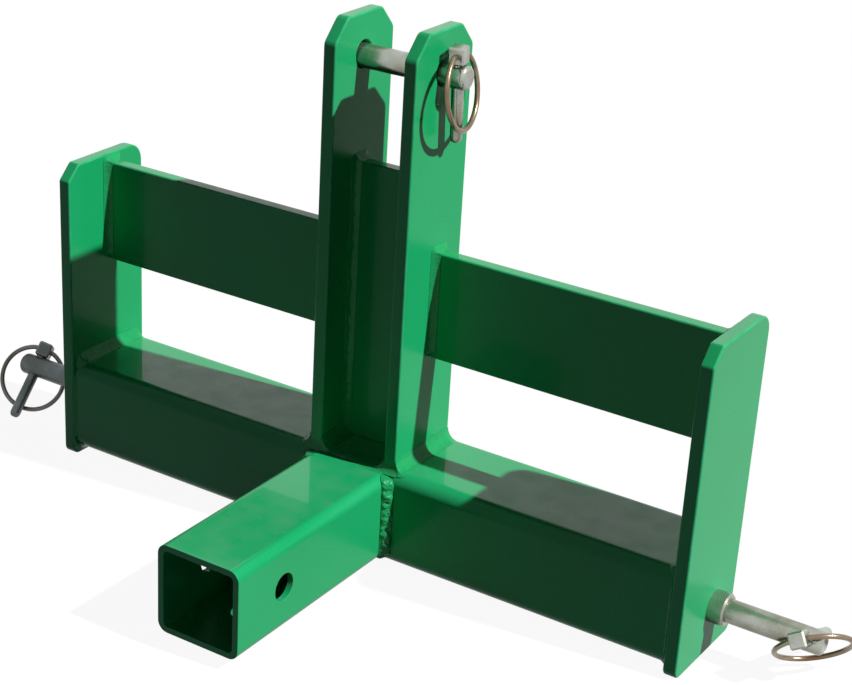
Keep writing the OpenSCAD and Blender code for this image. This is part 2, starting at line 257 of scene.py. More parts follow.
class SurfaceGroups:
    """The shader node groups that several finishes share."""

    def __init__(self) -> None:
        """Builds each group once."""
        self.drift = self._colour_drift()
        self.peel = self._peel()
        self.rim = self._rim_sheen()
        self.dust = self._dust()
        self.under = self._underside_shade()

    @staticmethod
    def _colour_drift() -> bpy.types.NodeTree:
        """Slow change between two colours, with fine specks of the second."""
        maker = SurfaceMaker("colour_drift", ("First", "Second"), Patch_Scale=9.0, Speck_Scale=420.0,
                             Specks=0.2)
        maker.gives("Color", "Color")
        maker.gives("Mask", "Float")
        slow = maker.span(maker.noise(maker.given("Patch Scale"), 3.0), 0.36, 0.66)
        fast = maker.span(maker.noise(maker.given("Speck Scale"), 1.0), 0.6, 0.72)
        mask = (slow + fast * maker.given("Specks")).math("MINIMUM", 1.0)
        return maker.finish(Color=maker.blend("First", "Second", mask), Mask=mask)

    @staticmethod
    def _peel() -> bpy.types.NodeTree:
        """Height of a skin: soft cells of one size over a slower swell."""
        maker = SurfaceMaker("skin_height", Cell_Scale=500.0, Swell_Scale=40.0, Swell=0.5)
        maker.gives("Height", "Float")
        cell = maker.noise(maker.given("Cell Scale"), 1.0)
        swell = maker.noise(maker.given("Swell Scale"), 2.0)
        return maker.finish(Height=cell + swell * maker.given("Swell"))

    @staticmethod
    def _rim_sheen() -> bpy.types.NodeTree:
        """Painted highlight on the rounded edges, partly the thinner coat that paint keeps there: a lighter,
        broken colour on the faces that carry the rim attribute.
        """
        maker = SurfaceMaker("painted_rim_sheen", ("Color", "Rim Color"), Amount=0.5)
        maker.gives("Color", "Color")
        rim = maker.field(maker.node("ShaderNodeAttribute", attribute_name="rim"), "Fac")
        mask = rim * maker.span(maker.noise(70.0, 3.0), 0.3, 0.62) * maker.given("Amount")
        return maker.finish(Color=maker.blend("Color", "Rim Color", mask))

    @staticmethod
    def _dust() -> bpy.types.NodeTree:
        """Thin patchy film on the faces that look up, and a mask of these faces."""
        maker = SurfaceMaker("dust_film", ("Color", "Dust Color"), Amount=0.15)
        maker.gives("Color", "Color")
        maker.gives("Mask", "Float")
        maker.gives("Up", "Float")
        up = maker.span(maker.height_of_facing(), 0.975, 0.995)
        mask = up * maker.span(maker.noise(55.0, 5.0), 0.38, 0.7) * maker.given("Amount")
        return maker.finish(Color=maker.blend("Color", "Dust Color", mask), Mask=mask, Up=up)

    @staticmethod
    def _underside_shade() -> bpy.types.NodeTree:
        """Painted shade: a darker, warmer colour on the faces of bare metal that look down, where the metal
        would mirror the dark ground.
        """
        maker = SurfaceMaker("painted_underside_shade", ("Color", "Under Color"), Amount=0.0)
        maker.gives("Color", "Color")
        down = maker.span(maker.height_of_facing(), 0.3, -0.8)
        mask = down * maker.span(maker.noise(90.0, 3.0), -0.2, 0.6) * maker.given("Amount")
        return maker.finish(Color=maker.blend("Color", "Under Color", mask))


Colour = tuple[float, float, float]

DUST_COLOUR: Colour = (0.30, 0.36, 0.30)
# Colour of the painted shade on metal faces that look down.
UNDERSIDE_SHADE_COLOUR: Colour = (0.13, 0.11, 0.075)
DUST_ROUGHNESS = 0.5
DUST_OVER_COAT = 3.0
COAT_ROUGHNESS = 0.05


@dataclass(frozen=True)
class Finish:
    """A material's plain values, and the nodes that every finish of this object shares."""

    name: str
    first: Colour
    second: Colour
    # Colour of the painted highlight on rounded edges.
    rim: Colour
    roughness: float
    metallic: float = 0.0
    coat: float = 0.0
    sky_coat: float = 0.0
    specular: float = 0.5
    patch_scale: float = 9.0
    speck_scale: float = 420.0
    specks: float = 0.2
    # Strength of the painted edge highlight.
    rim_sheen_amount: float = 0.4
    dust_amount: float = 0.0
    # Strength of the painted shade on faces that look down.
    underside_shade_amount: float = 0.0
    cell_scale: float = 500.0
    swell_scale: float = 40.0
    swell: float = 0.5
    height: float = 0.02
    roughness_swing: float = 0.08

    def build(self, groups: SurfaceGroups) -> bpy.types.Material:
        """Makes the material from the shared groups, on Object coordinates."""
        made = bpy.data.materials.new(self.name)
        made.use_nodes = True
        tree = made.node_tree
        shader = tree.nodes["Principled BSDF"]
        place = tree.nodes.new("ShaderNodeTexCoord").outputs["Object"]

        def group(which: bpy.types.NodeTree, **values: object) -> bpy.types.Node:
            """Places a shared group with its values."""
            node = tree.nodes.new("ShaderNodeGroup")
            node.node_tree = which
            feed(tree, node.inputs["Place"], place)
            for key, value in values.items():
                plain = (*value, 1.0) if isinstance(value, tuple) else value
                feed(tree, node.inputs[key.replace("_", " ")], plain)
            return node

        drift = group(groups.drift, First=self.first, Second=self.second, Patch_Scale=self.patch_scale,
                      Speck_Scale=self.speck_scale, Specks=self.specks)
        dusty = group(groups.dust, Color=drift.outputs["Color"], Dust_Color=DUST_COLOUR,
                      Amount=self.dust_amount)
        # Painted highlight: rounded edges lighten towards the rim colour.
        sheened = group(groups.rim, Color=dusty.outputs["Color"], Rim_Color=self.rim, Amount=self.rim_sheen_amount)
        # Painted shade: faces that look down darken towards a warm dark colour.
        under = group(groups.under, Color=sheened.outputs["Color"], Under_Color=UNDERSIDE_SHADE_COLOUR,
                      Amount=self.underside_shade_amount)
        skin = group(groups.peel, Cell_Scale=self.cell_scale, Swell_Scale=self.swell_scale, Swell=self.swell)
        bump = tree.nodes.new("ShaderNodeBump")
        bump.inputs["Strength"].default_value = 1.0
        bump.inputs["Distance"].default_value = self.height * MM
        feed(tree, bump.inputs["Height"], skin.outputs["Height"])
        dust = Field(tree, dusty.outputs["Mask"])
        rough = Field(tree, drift.outputs["Mask"]) * self.roughness_swing + self.roughness
        bare = dust * -DUST_OVER_COAT + 1.0
        surface = {
            "Base Color": under.outputs["Color"],
            "Roughness": rough + dust * DUST_ROUGHNESS,
            "Normal": bump.outputs["Normal"],
            "Metallic": self.metallic,
            "Specular IOR Level": self.specular,
            "Coat Weight": Field(tree, dusty.outputs["Up"]) * bare * self.sky_coat + self.coat,
            "Coat Roughness": COAT_ROUGHNESS,
        }
        for key, value in surface.items():
            feed(tree, shader.inputs[key], value)
        made.diffuse_color = (*self.first, 1.0)
        return made


# Every finish paints a highlight on its rounded edges in its third colour.
PAINT = Finish("green_powder_coat", (0.009, 0.370, 0.125), (0.014, 0.392, 0.146), (0.05, 0.50, 0.23), 0.24,
               coat=0.05, sky_coat=0.55, specular=0.09, dust_amount=0.12, cell_scale=420.0,
               swell_scale=30.0, height=0.012, rim_sheen_amount=0.6)
BEAD_PAINT = Finish("green_weld_paint", (0.014, 0.37, 0.125), (0.012, 0.31, 0.105), (0.05, 0.50, 0.22), 0.24,
                    coat=0.09, specular=0.08, patch_scale=60.0, cell_scale=900.0, swell_scale=260.0,
                    swell=1.2, height=0.05)
# The metal finishes below paint shade on their faces that look down.
PLATING = Finish("bright_zinc_plate", (0.47, 0.50, 0.45), (0.27, 0.26, 0.20), (0.85, 0.85, 0.80), 0.19,
                 metallic=0.88, patch_scale=38.0, speck_scale=900.0, specks=0.3, cell_scale=1400.0,
                 swell_scale=220.0, height=0.012, roughness_swing=0.14, underside_shade_amount=0.95)
# Painted shade: a darker copy of the plating for the left pieces, which sit in shade; it is rougher too.
SHADED_PLATING = Finish("shaded_zinc_plate", (0.13, 0.16, 0.17), (0.09, 0.105, 0.10), (0.50, 0.52, 0.52), 0.32,
                      metallic=0.75, patch_scale=60.0, speck_scale=900.0, specks=0.4, cell_scale=1100.0,
                      swell_scale=200.0, height=0.02, roughness_swing=0.14, underside_shade_amount=0.7)
BRONZED_WIRE = Finish("bronzed_spring_wire", (0.34, 0.27, 0.19), (0.19, 0.11, 0.06), (0.70, 0.66, 0.60),
                      0.20, metallic=0.85, patch_scale=45.0, speck_scale=1200.0, specks=0.25,
                      cell_scale=1800.0, swell_scale=300.0, height=0.010, roughness_swing=0.15,
                      underside_shade_amount=0.7)
# Painted shade: a darker copy of the wire for the left ring, which sits in shade.
SHADED_WIRE = Finish("shaded_spring_wire", (0.14, 0.15, 0.145), (0.10, 0.09, 0.075), (0.45, 0.43, 0.40), 0.30,
                   metallic=0.75, patch_scale=50.0, speck_scale=1200.0, specks=0.3, cell_scale=1600.0,
                   swell_scale=260.0, height=0.012, roughness_swing=0.12, underside_shade_amount=0.5)


class Finishes:
    """Every material of the object, built once."""

    def __init__(self) -> None:
        """Builds the shared groups and the materials."""
        groups = SurfaceGroups()
        self.paint = PAINT.build(groups)
        self.bead = BEAD_PAINT.build(groups)
        self.plate = PLATING.build(groups)
        # The darker copies paint the shade on the left pieces.
        self.shaded_plate = SHADED_PLATING.build(groups)
        self.wire = BRONZED_WIRE.build(groups)
        self.shaded_wire = SHADED_WIRE.build(groups)


def as_object(name: str, mesh: bpy.types.Mesh, material: bpy.types.Material) -> bpy.types.Object:
    """Puts a mesh, already in its place, in the scene under its own name and with one material."""
    mesh.name = name
    mesh.materials.clear()
    mesh.materials.append(material)
    made = bpy.data.objects.new(name, mesh)
    bpy.context.scene.collection.objects.link(made)
    return made


def settle(piece: bpy.types.Object) -> bpy.types.Object:
    """Turns a piece and its modifiers into a plain mesh, and gives the piece back."""
    bpy.context.view_layer.update()
    ready = piece.evaluated_get(bpy.context.evaluated_depsgraph_get())
    result = bpy.data.meshes.new_from_object(ready)
    old, name = piece.data, piece.data.name
    piece.modifiers.clear()
    piece.data = result
    bpy.data.meshes.remove(old)
    result.name = name
    return piece


def fasten(piece: bpy.types.Object, node: str) -> None:
    """Lets a finished piece stand for a CAD node, on the node's body, and hides the node."""
    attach(piece, body_of(node))
    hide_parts(node)
    log.info("%s stands for %s, %d faces", piece.name, node, len(piece.data.polygons))


def smooth_into(work: bmesh.types.BMesh, mesh: bpy.types.Mesh) -> None:
    """Gives a mesh the work's faces, all smooth, and frees the work."""
    for face in work.faces:
        face.smooth = True
    work.to_mesh(mesh)
    work.free()


@dataclass(frozen=True)
class SoftEdges:
    """How a rigid node's sharp edges are softened, as grinding and paint leave them."""

    width: float
    steps: int = 3
    sharp: float = math.radians(32)
    weld: float = 0.004 * MM
    flat: float = math.radians(0.4)

    def dress(self, node: str, name: str, material: bpy.types.Material) -> bpy.types.Object:
        """Copies a CAD node with rounded edges, whose faces carry the rim attribute."""
        work = bmesh.new()
        work.from_mesh(frame["nodes"][node].data)
        bmesh.ops.remove_doubles(work, verts=work.verts, dist=self.weld)
        bmesh.ops.dissolve_limit(work, angle_limit=self.flat, verts=work.verts, edges=work.edges)
        rim = work.faces.layers.float.new("rim")
        edges = [e for e in work.edges if len(e.link_faces) == 2 and e.calc_face_angle(0.0) > self.sharp]
        rounded = bmesh.ops.bevel(work, geom=edges, offset=self.width, offset_type="OFFSET",
                                  segments=self.steps, profile=0.5, affect="EDGES", clamp_overlap=True)
        for face in rounded["faces"]:
            face[rim] = 1.0
        mesh = bpy.data.meshes.new(name)
        smooth_into(work, mesh)
        piece = as_object(name, mesh, material)
        weighted = piece.modifiers.new("even_shading", "WEIGHTED_NORMAL")
        weighted.weight = 100
        weighted.keep_sharp = True
        return settle(piece)


@dataclass
class Seam:
    """The line along which a weld bead lies, with the two walls that it joins.

    Where the walls turn and the line doesn't, the samples go round by turn_share of the leg. An open seam
    tapers off over end_legs of its leg, down to end_share of it.
    """

    points: list[Vector]
    first_wall: list[Vector]
    second_wall: list[Vector]
    leg: float
    closed: bool = False
    shares: list[float] | None = None
    turn_share: float = 0.6
    end_legs: float = 0.8
    end_share: float = 0.03

    @classmethod
    def straight(cls, points: list[Vector], first: Iterable[float], second: Iterable[float],
                 leg: float) -> "Seam":
        """A seam whose two walls keep their directions all the way."""
        return cls(points, [Vector(first)] * len(points), [Vector(second)] * len(points), leg)

    def dense(self, step: float) -> list[tuple[Vector, Vector, Vector, float, float]]:
        """Samples the seam evenly.

        Args:
            step: Distance between samples.

        Returns:
            Place, both wall directions, leg and distance along the seam, for each sample.
        """
        ring = [*range(len(self.points)), 0] if self.closed else list(range(len(self.points)))
        samples: list[tuple[Vector, Vector, Vector, float, float]] = []
        walls = (self.first_wall, self.second_wall)
        shares = self.shares or [1.0] * len(self.points)
        along = 0.0
        for a, b in zip(ring, ring[1:]):
            turn = sum((wall[b] - wall[a]).length for wall in walls)
            span = (self.points[b] - self.points[a]).length + self.leg * self.turn_share * turn
            count = max(1, round(span / step))
            for t in (i / count for i in range(count)):
                first, second = (wall[a].lerp(wall[b], t).normalized() for wall in walls)
                samples.append((self.points[a].lerp(self.points[b], t), first, second, along + span * t,
                                shares[a] * (1 - t) + shares[b] * t))
            along += span
        if not self.closed:
            samples.append((self.points[-1], self.first_wall[-1], self.second_wall[-1], along, shares[-1]))
        made = []
        for place, first, second, s, wide in samples:
            share = 1.0
            if not self.closed:
                near = min(s, along - s) / (self.end_legs * self.leg)
                share = math.sqrt(max(0.0, 1 - (1 - min(near, 1.0)) ** 2))
            made.append((place, first, second, self.leg * wide * max(share, self.end_share), s))
        return made


@dataclass(frozen=True)
class BeadSweep:
    """The node tree that sweeps a crowned or hollow weld bead along seams.

    The crown sets the arc of its section, the pitch and the ripple its scales, the rough its grain and the
    swing its slow unevenness, all as shares of the leg but for the pitch.
    """

    TREE_NAME: ClassVar[str] = "weld_bead_sweep"

    crown: float
    pitch: float
    ripple: float
    rough: float
    swing: float
    hollow: bool = False
    root: float = 0.4 * MM
    step: float = 0.42 * MM
    arc_points: int = 13

    def tree(self) -> bpy.types.NodeTree:
        """Builds the tree, whose named inputs are the bead's sizes."""
        maker = TreeMaker(self.TREE_NAME, "GeometryNodeTree")
        maker.takes("Geometry", "Geometry")
        for name, value in {**self.sizes(), "Root": self.root, "Seed": 1.0}.items():
            maker.takes(name, "Float", value)
        maker.takes("Finish", "Material")
        maker.gives("Geometry", "Geometry")

        def captured(geometry: Field, kind: str, name: str, source: str) -> bpy.types.Node:
            """Keeps a value of a geometry as it is before the sweep."""
            node = maker.node("GeometryNodeCaptureAttribute", Geometry=geometry)
            node.capture_items.new(kind, name)
            feed(maker.tree, node.inputs[name], maker.value(source))
            return node

        line = maker.value("GeometryNodeMeshToCurve", Mesh=maker.given("Geometry"))
        corner = captured(line, "VECTOR", "Corner", "GeometryNodeInputPosition")
        loop = maker.value("GeometryNodeCurvePrimitiveCircle", Resolution=self.arc_points + 2, Radius=MM)
        turn = captured(loop, "FLOAT", "Turn", "GeometryNodeInputIndex")
        swept = maker.value("GeometryNodeCurveToMesh", Curve=maker.field(corner),
                            Profile_Curve=maker.field(turn), Fill_Caps=True)

        def named(name: str, kind: str = "FLOAT") -> Field:
            """A named attribute of the seam."""
            return maker.value("GeometryNodeInputNamedAttribute", data_type=kind, Name=name)

        leg, along = named("leg"), named("along")
        index = maker.field(turn, "Turn")
        last = float(self.arc_points)
        arc = (index / last).math("MINIMUM", 1.0)
        root = index.math("GREATER_THAN", last + 0.5)

        def grain(lengthwise: float, across: float) -> Field:
            """Noise over the bead, with so many cells per metre of its length and over its arc."""
            spot = maker.value("ShaderNodeCombineXYZ", X=along * lengthwise, Y=arc * across,
                               Z=maker.given("Seed"))
            return maker.value("ShaderNodeTexNoise", Vector=spot, Scale=1.0, Detail=2.0)

        wander, fine = grain(220.0, 1.6), grain(900.0, 7.0)
        bow = (arc * 2.0 - 1.0).math("POWER", 2.0)
        beat = (along / maker.given("Pitch") + bow * 0.75 + wander * 1.3).math("FRACT")
        scale = (beat * 2.0 - 1.0).math("POWER", 2.0)
        dome = (scale * -1.0 + 1.0).math("MAXIMUM", 0.0).math("SQRT")
        toe = (arc * math.pi).math("SINE").math("MAXIMUM", 0.0).math("POWER", 0.7)
        swing = (wander - 0.5) * maker.given("Swing")
        lift = (dome * maker.given("Ripple") + (fine - 0.5) * maker.given("Rough") + swing) * toe
        crown, hollow = maker.given("Crown"), maker.given("Hollow")
        start = crown.math("ARCTAN2", crown + 1.0)
        angle = start + (start * -2.0 + math.pi / 2 - hollow * math.tau) * arc
        outwards = hollow * -2.0 + 1.0
        wide = ((crown + 1.0).math("POWER", 2.0) + crown.math("POWER", 2.0)).math("SQRT")
        radius = wide + lift * outwards
        inside = maker.given("Root") * root * -1.0
        keep = root * -1.0 + 1.0

        def offset(wall: str, turned: str) -> Field:
            """The way from the seam's line along a wall, by the cosine or sine of the arc's angle."""
            amount = (angle.math(turned) * radius - crown) * leg * keep + inside
            return maker.value("ShaderNodeVectorMath", operation="SCALE", Vector=named(wall, "FLOAT_VECTOR"),
                               Scale=amount)

        def summed(first: Field, second: Field) -> Field:
            """The sum of two vectors."""
            node = maker.node("ShaderNodeVectorMath", operation="ADD")
            for place, value in zip(node.inputs, (first, second)):
                feed(maker.tree, place, value)
            return maker.field(node)

        section = summed(offset("first_wall", "COSINE"), offset("second_wall", "SINE"))
        place = summed(maker.field(corner, "Corner"), section)
        return maker.finish_mesh(maker.value("GeometryNodeSetPosition", Geometry=swept, Position=place))

    def sizes(self) -> dict[str, float]:
        """The tree's inputs that differ between the beads, by name."""
        return {"Crown": self.crown, "Pitch": self.pitch, "Ripple": self.ripple, "Rough": self.rough,
                "Swing": self.swing, "Hollow": float(self.hollow)}

    def build(self, name: str, seams: Iterable[Seam], material: bpy.types.Material,
              seed: float) -> bpy.types.Object:
        """Sweeps the beads of one piece, with a fixed seed for its ripples, as a plain mesh."""
        mesh = bpy.data.meshes.new(name)
        places, edges, rows = [], [], []
        for seam in seams:
            first, samples = len(places), seam.dense(self.step)
            places += [row[0] for row in samples]
            rows += samples
            edges += [(first + i, first + i + 1) for i in range(len(samples) - 1)]
            if seam.closed:
                edges.append((first + len(samples) - 1, first))
        mesh.from_pydata(places, edges, [])
        for label, column in (("first_wall", 1), ("second_wall", 2)):
            layer = mesh.attributes.new(label, "FLOAT_VECTOR", "POINT")
            for value, row in zip(layer.data, rows):
                value.vector = row[column]
        for label, column in (("leg", 3), ("along", 4)):
            layer = mesh.attributes.new(label, "FLOAT", "POINT")
            for value, row in zip(layer.data, rows):
                value.value = row[column]
        return run_sweep(name, mesh, material, self, {**self.sizes(), "Seed": seed})


def run_sweep(name: str, mesh: bpy.types.Mesh, material: bpy.types.Material, maker: "BeadSweep | WireSweep",
              sizes: dict[str, float | int]) -> bpy.types.Object:
    """Runs a sweep's node tree on a line, keeps the result as a plain mesh and closes it.

    Args:
        name: Name of the piece.
        mesh: The line.
        material: Its finish.
        maker: The sweep, which builds the tree.
        sizes: The tree's inputs by name, set by their sockets' identifiers.

    Returns:
        The piece.
    """
    piece = as_object(name, mesh, material)
    modifier = piece.modifiers.new("sweep", "NODES")
    modifier.node_group = bpy.data.node_groups.get(maker.TREE_NAME) or maker.tree()
    values = {**sizes, "Finish": material}
    for item in modifier.node_group.interface.items_tree:
        if getattr(item, "in_out", "") == "INPUT" and item.name in values:
            modifier[item.identifier] = values[item.name]
    settle(piece)
    close_up(piece.data)
    return piece


def close_up(mesh: bpy.types.Mesh) -> None:
    """Merges doubles, turns every closed shell outwards and drops the sweep's own attributes."""
    work = bmesh.new()
    work.from_mesh(mesh)
    bmesh.ops.remove_doubles(work, verts=work.verts, dist=0.002 * MM)
    bmesh.ops.dissolve_degenerate(work, edges=work.edges, dist=0.001 * MM)
    bmesh.ops.recalc_face_normals(work, faces=work.faces)
    smooth_into(work, mesh)
    for label in ("first_wall", "second_wall", "leg", "along", "Corner", "Turn"):
        layer = mesh.attributes.get(label)
        if layer is not None:
            mesh.attributes.remove(layer)


@dataclass(frozen=True)
class CrossSurface:
    """The outside of the cross tube, for the beads that follow it."""

    low: Vector
    high: Vector
    corner: float = 9.5 * MM

    def top(self, y: float) -> float:
        """Height of the tube's upper surface at a depth y."""
        into = max(self.low.y + self.corner - y, y - (self.high.y - self.corner), 0.0)
        return self.high.z - self.corner + math.sqrt(max(self.corner**2 - min(into, self.corner) ** 2, 0.0))

    def front(self, z: float) -> float:
        """Depth of the tube's front surface at a height z."""
        into = min(max(abs(z) - (self.high.z - self.corner), 0.0), self.corner)
        return self.low.y + self.corner - math.sqrt(self.corner**2 - into**2)

    def slope(self, y: float) -> Vector:
        """Unit direction of the upper surface away from the tube's middle at a depth y."""
        front = self.low.y + self.corner - y
        back = y - (self.high.y - self.corner)
        into = max(front, back, 0.0)
        angle = math.asin(min(into / self.corner, 1.0))
        return Vector((0, -math.cos(angle) if front >= back else math.cos(angle), -math.sin(angle)))


@dataclass(frozen=True)
class Groove:
    """The filled groove over and under the receiver's end, where its round edge meets the cross tube's.

    The strip starts a lead before the tube's front, stands over a base that lies inside the tube, has a floor
    below that, falls by fall on its way back, and runs into the tube's skin over the blend.
    """

    across: int = 72
    deep: int = 22
    lead: float = 0.4 * MM
    first_skin: float = 0.2 * MM
    base: float = 0.5 * MM
    floor: float = 0.3 * MM
    blend: float = 1.4 * MM
    sink: float = 0.06 * MM
    fall: float = 0.3 * MM
    grain: float = 0.25 * MM
    grain_cells: float = 260.0
    grain_middle: float = 0.2
    quiet_rows: int = 3

    def build(self, tube: CrossSurface, half: float, r: float) -> bmesh.types.BMesh:
        """Builds both strips.

        Args:
            tube: The cross tube's outside.
            half: Half the receiver's width.
            r: The receiver's corner radius.

        Returns:
            The strips as one mesh.
        """
        work = bmesh.new()
        for up in (1, -1):
            rows = []
            for j in range(self.deep + 1):
                y = tube.low.y + tube.corner * j / self.deep - self.lead
                skin = tube.top(max(y, tube.low.y + self.first_skin))
                base = skin - self.base
                quiet = min(1.0, j / self.quiet_rows, (self.deep - j) / self.quiet_rows)
                row = []
                for i in range(self.across + 1):
                    x = -half + 2 * half * i / self.across
                    side = max(abs(x) - (half - r), 0.0)
                    roof = half - r + math.sqrt(max(r * r - side * side, 0.0))
                    spot = Vector((x, y, up * 0.05)) * self.grain_cells
                    roof += self.grain * (noise.noise(spot) - self.grain_middle) * quiet
                    merged = (roof + skin + math.hypot(roof - skin, self.blend)) / 2
                    roof = max(merged - self.sink - self.fall * j / self.deep, base)
                    row.append([work.verts.new((x, y, up * z)) for z in (roof, base - self.floor)])
                rows.append(row)
            for a, b in zip(rows, rows[1:]):
                for p, q, s, t in zip(a, a[1:], b[1:], b):
                    work.faces.new((p[0], q[0], s[0], t[0]))
                    work.faces.new((t[1], s[1], q[1], p[1]))
            rim = rows[0] + [row[-1] for row in rows[1:-1]] + rows[-1][::-1]
            rim += [row[0] for row in rows[-2:0:-1]]
            for p, q in zip(rim, rim[1:] + rim[:1]):
                work.faces.new((p[1], q[1], q[0], p[0]))
        bmesh.ops.recalc_face_normals(work, faces=work.faces)
        for face in work.faces:
            face.smooth = True
        return work


@dataclass
class WeldedFrame:
    """The welded and painted frame: tubes, plates, uprights, brace bars and the beads between them."""

    finishes: Finishes
    edges: SoftEdges = SoftEdges(width=1.3 * MM)
    cut_edges: SoftEdges = SoftEdges(width=1.1 * MM)
    lumpy: BeadSweep = BeadSweep(crown=1.1, pitch=4.2 * MM, ripple=0.07, rough=0.28, swing=0.95)
    smooth: BeadSweep = BeadSweep(crown=-1.03, pitch=5.0 * MM, ripple=0.0, rough=0.0, swing=0.07, hollow=True)
    even: BeadSweep = BeadSweep(crown=-1.6, pitch=2.6 * MM, ripple=0.015, rough=0.02, swing=0.16, hollow=True)
    receiver_leg: float = 6.0 * MM
    receiver_corner: float = 7.5 * MM
    foot_leg: float = 8.5 * MM
    return_share: float = 0.45
    low_plate_leg: float = 4.7 * MM
    brace_leg: float = 5.0 * MM
    plate_leg: float = 7.0 * MM
    plate_side_leg: float = 1.8 * MM
    plate_inset: float = 1.6 * MM
    stop: float = 3.0 * MM

    def __post_init__(self) -> None:
        """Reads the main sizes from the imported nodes."""
        self.tube = CrossSurface(*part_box("cross_tube"))
        self.receiver_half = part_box("receiver_tube")[1].x
        self.upright_low, self.upright_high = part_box("right_upright")
        self.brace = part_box("right_brace_bar")
        self.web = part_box("centre_web_plate")
        self.plate_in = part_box("right_end_plate")[0].x

    def build(self) -> None:
        """Builds every piece of the frame."""
        for node in ("cross_tube", "receiver_tube", "left_end_plate", "right_end_plate", "left_upright",
                     "right_upright", "centre_web_plate", "left_brace_bar", "right_brace_bar"):
            edges = self.cut_edges if node.endswith("tube") else self.edges
            fasten(edges.dress(node, f"painted_{node}", self.finishes.paint), node)
        groove = Groove().build(self.tube, self.receiver_half, self.receiver_corner)
        self._beads("receiver_beads", "receiver_welds", self.lumpy, self._receiver_seams(), 1.3, groove)
        self._beads("upright_foot_beads", "upright_welds", self.smooth, self._foot_seams(), 2.7)
        self._beads("web_plate_beads", "web_welds", self.even, self._web_seams(), 3.3)
        self._beads("brace_bar_beads", "brace_welds", self.even, self._brace_seams(), 4.1)
        self._beads("end_plate_beads", "end_plate_welds", self.even, self._plate_seams(), 5.9)

    def _beads(self, name: str, node: str, sweep: BeadSweep, seams: list[Seam], seed: float,
               extra: bmesh.types.BMesh | None = None) -> None:
        """Builds one piece of beads.

        Args:
            name: Name of the piece.
            node: The CAD node that it stands for.
            sweep: How its beads look.
            seams: Its seams.
            seed: Seed of its ripples.
            extra: A further closed mesh that belongs to it.
        """
        piece = sweep.build(name, seams, self.finishes.bead, seed)
        if extra is not None:
            extra.from_mesh(piece.data)
            extra.to_mesh(piece.data)
            extra.free()
        fasten(piece, node)

    def _receiver_seams(self) -> list[Seam]:
        """The seams down both sides of the receiver tube, round its corners as far as they are open."""
        r, half = self.receiver_corner, self.receiver_half
        seams = []
        for side in Side:
            turns = [math.radians(a) for a in range(-72, 1, 6)]
            corner = [(half - r + r * math.cos(a), -half + r + r * math.sin(a)) for a in turns]
            path = [(x, self.tube.front(z), z) for x, z in corner]
            path += [(x, y, -z) for x, y, z in reversed(path)]
            points = [Vector((side.value * x, y, z)) for x, y, z in path]
            seams.append(Seam.straight(points, (side.value, 0, 0), (0, -1, 0), self.receiver_leg))
        return seams

    def _foot_seams(self) -> list[Seam]:
        """One closed seam round the foot of each upright."""
        near, far = self.upright_low.y, self.upright_high.y
        inner, outer = self.upright_low.x, self.upright_high.x
        up = Vector((0, 0, 1))
        seams = []
        for side in Side:
            s = side.value
            rows: list[tuple[Vector, Vector, float]] = []
            for x, y, away in ((outer, near, 1), (outer, far, 1), (inner, far, -1), (inner, near, -1)):
                aside = Vector((s * away, 0, 0))
                edge = self.tube.slope(y)
                place = Vector((s * x, y, self.tube.top(y)))
                slim = self.return_share
                turn = [(place, aside, 1.0), (place, (aside + edge).normalized(), slim), (place, edge, slim)]
                if (x, y) not in ((outer, near), (inner, far)):
                    rows += turn
                    continue
                ys = [near + (far - near) * i / 12 for i in range(1, 12)]
                rows += turn[::-1]
                rows += [(Vector((s * x, side_y, self.tube.top(side_y))), aside, 1.0)
                         for side_y in (ys if y == near else ys[::-1])]
            seams.append(Seam([r[0] for r in rows], [r[1] for r in rows], [up] * len(rows), self.foot_leg,
                              closed=True, shares=[r[2] for r in rows]))
        return seams

    def _over_bar(self, x: float, low: float, bar: tuple[Vector, Vector], away: float) -> Seam:
        """A seam up a bar's front, over its top and down its back, against a wall.

        Args:
            x: The wall's place.
            low: Height of both ends.
            bar: The bar's box.
            away: 1 where the bar lies to the right of the wall, otherwise -1.

        Returns:
            The seam.
        """
        front, back, top = bar[0].y, bar[1].y, bar[1].z
        faces = [Vector((0, -1, 0)), Vector((0, 0, 1)), Vector((0, 1, 0))]
        slanted = [(a + b).normalized() for a, b in zip(faces, faces[1:])]
        walls = [faces[0], faces[0], slanted[0], faces[1], faces[1], slanted[1], faces[2], faces[2]]
        spots = [(front, low), *[(front, top)] * 3, *[(back, top)] * 3, (back, low)]
        points = [Vector((x, y, z)) for y, z in spots]
        return Seam(points, walls, [Vector((away, 0, 0))] * len(walls), self.brace_leg)

    def _web_seams(self) -> list[Seam]:
        """The seams between the web plate and both uprights, over the plate's top."""
        return [self._over_bar(side.value * self.upright_low.x, self.tube.high.z + self.stop, self.web,
                               -side.value) for side in Side]

    def _brace_seams(self) -> list[Seam]:
        """The seams at both ends of each brace bar, over the bar's top."""
        return [self._over_bar(side.value * x, self.brace[0].z + self.stop, self.brace, side.value * away)
                for side in Side for x, away in ((self.plate_in, -1), (self.upright_high.x, 1))]

    def _plate_seams(self) -> list[Seam]:
        """The seams over and under the cross tube's ends, and the small ones down their front and back."""
        near, far = self.tube.low.y + self.plate_inset, self.tube.high.y - self.plate_inset
        flat = self.tube.high.z - self.tube.corner
        seams = []
        for side in Side:
            s = side.value
            for up in (1, -1):
                ys = [near + (far - near) * i / 40 for i in range(41)]
                path = [Vector((s * self.plate_in, y, up * self.tube.top(y))) for y in ys]
                leg = self.plate_leg if up > 0 else self.low_plate_leg
                seams.append(Seam.straight(path, (0, 0, up), (-s, 0, 0), leg))
            for y, away in ((self.tube.low.y, -1), (self.tube.high.y, 1)):
                path = [Vector((s * self.plate_in, y, z)) for z in (-flat, flat)]
                seams.append(Seam.straight(path, (0, away, 0), (-s, 0, 0), self.plate_side_leg))
        return seams


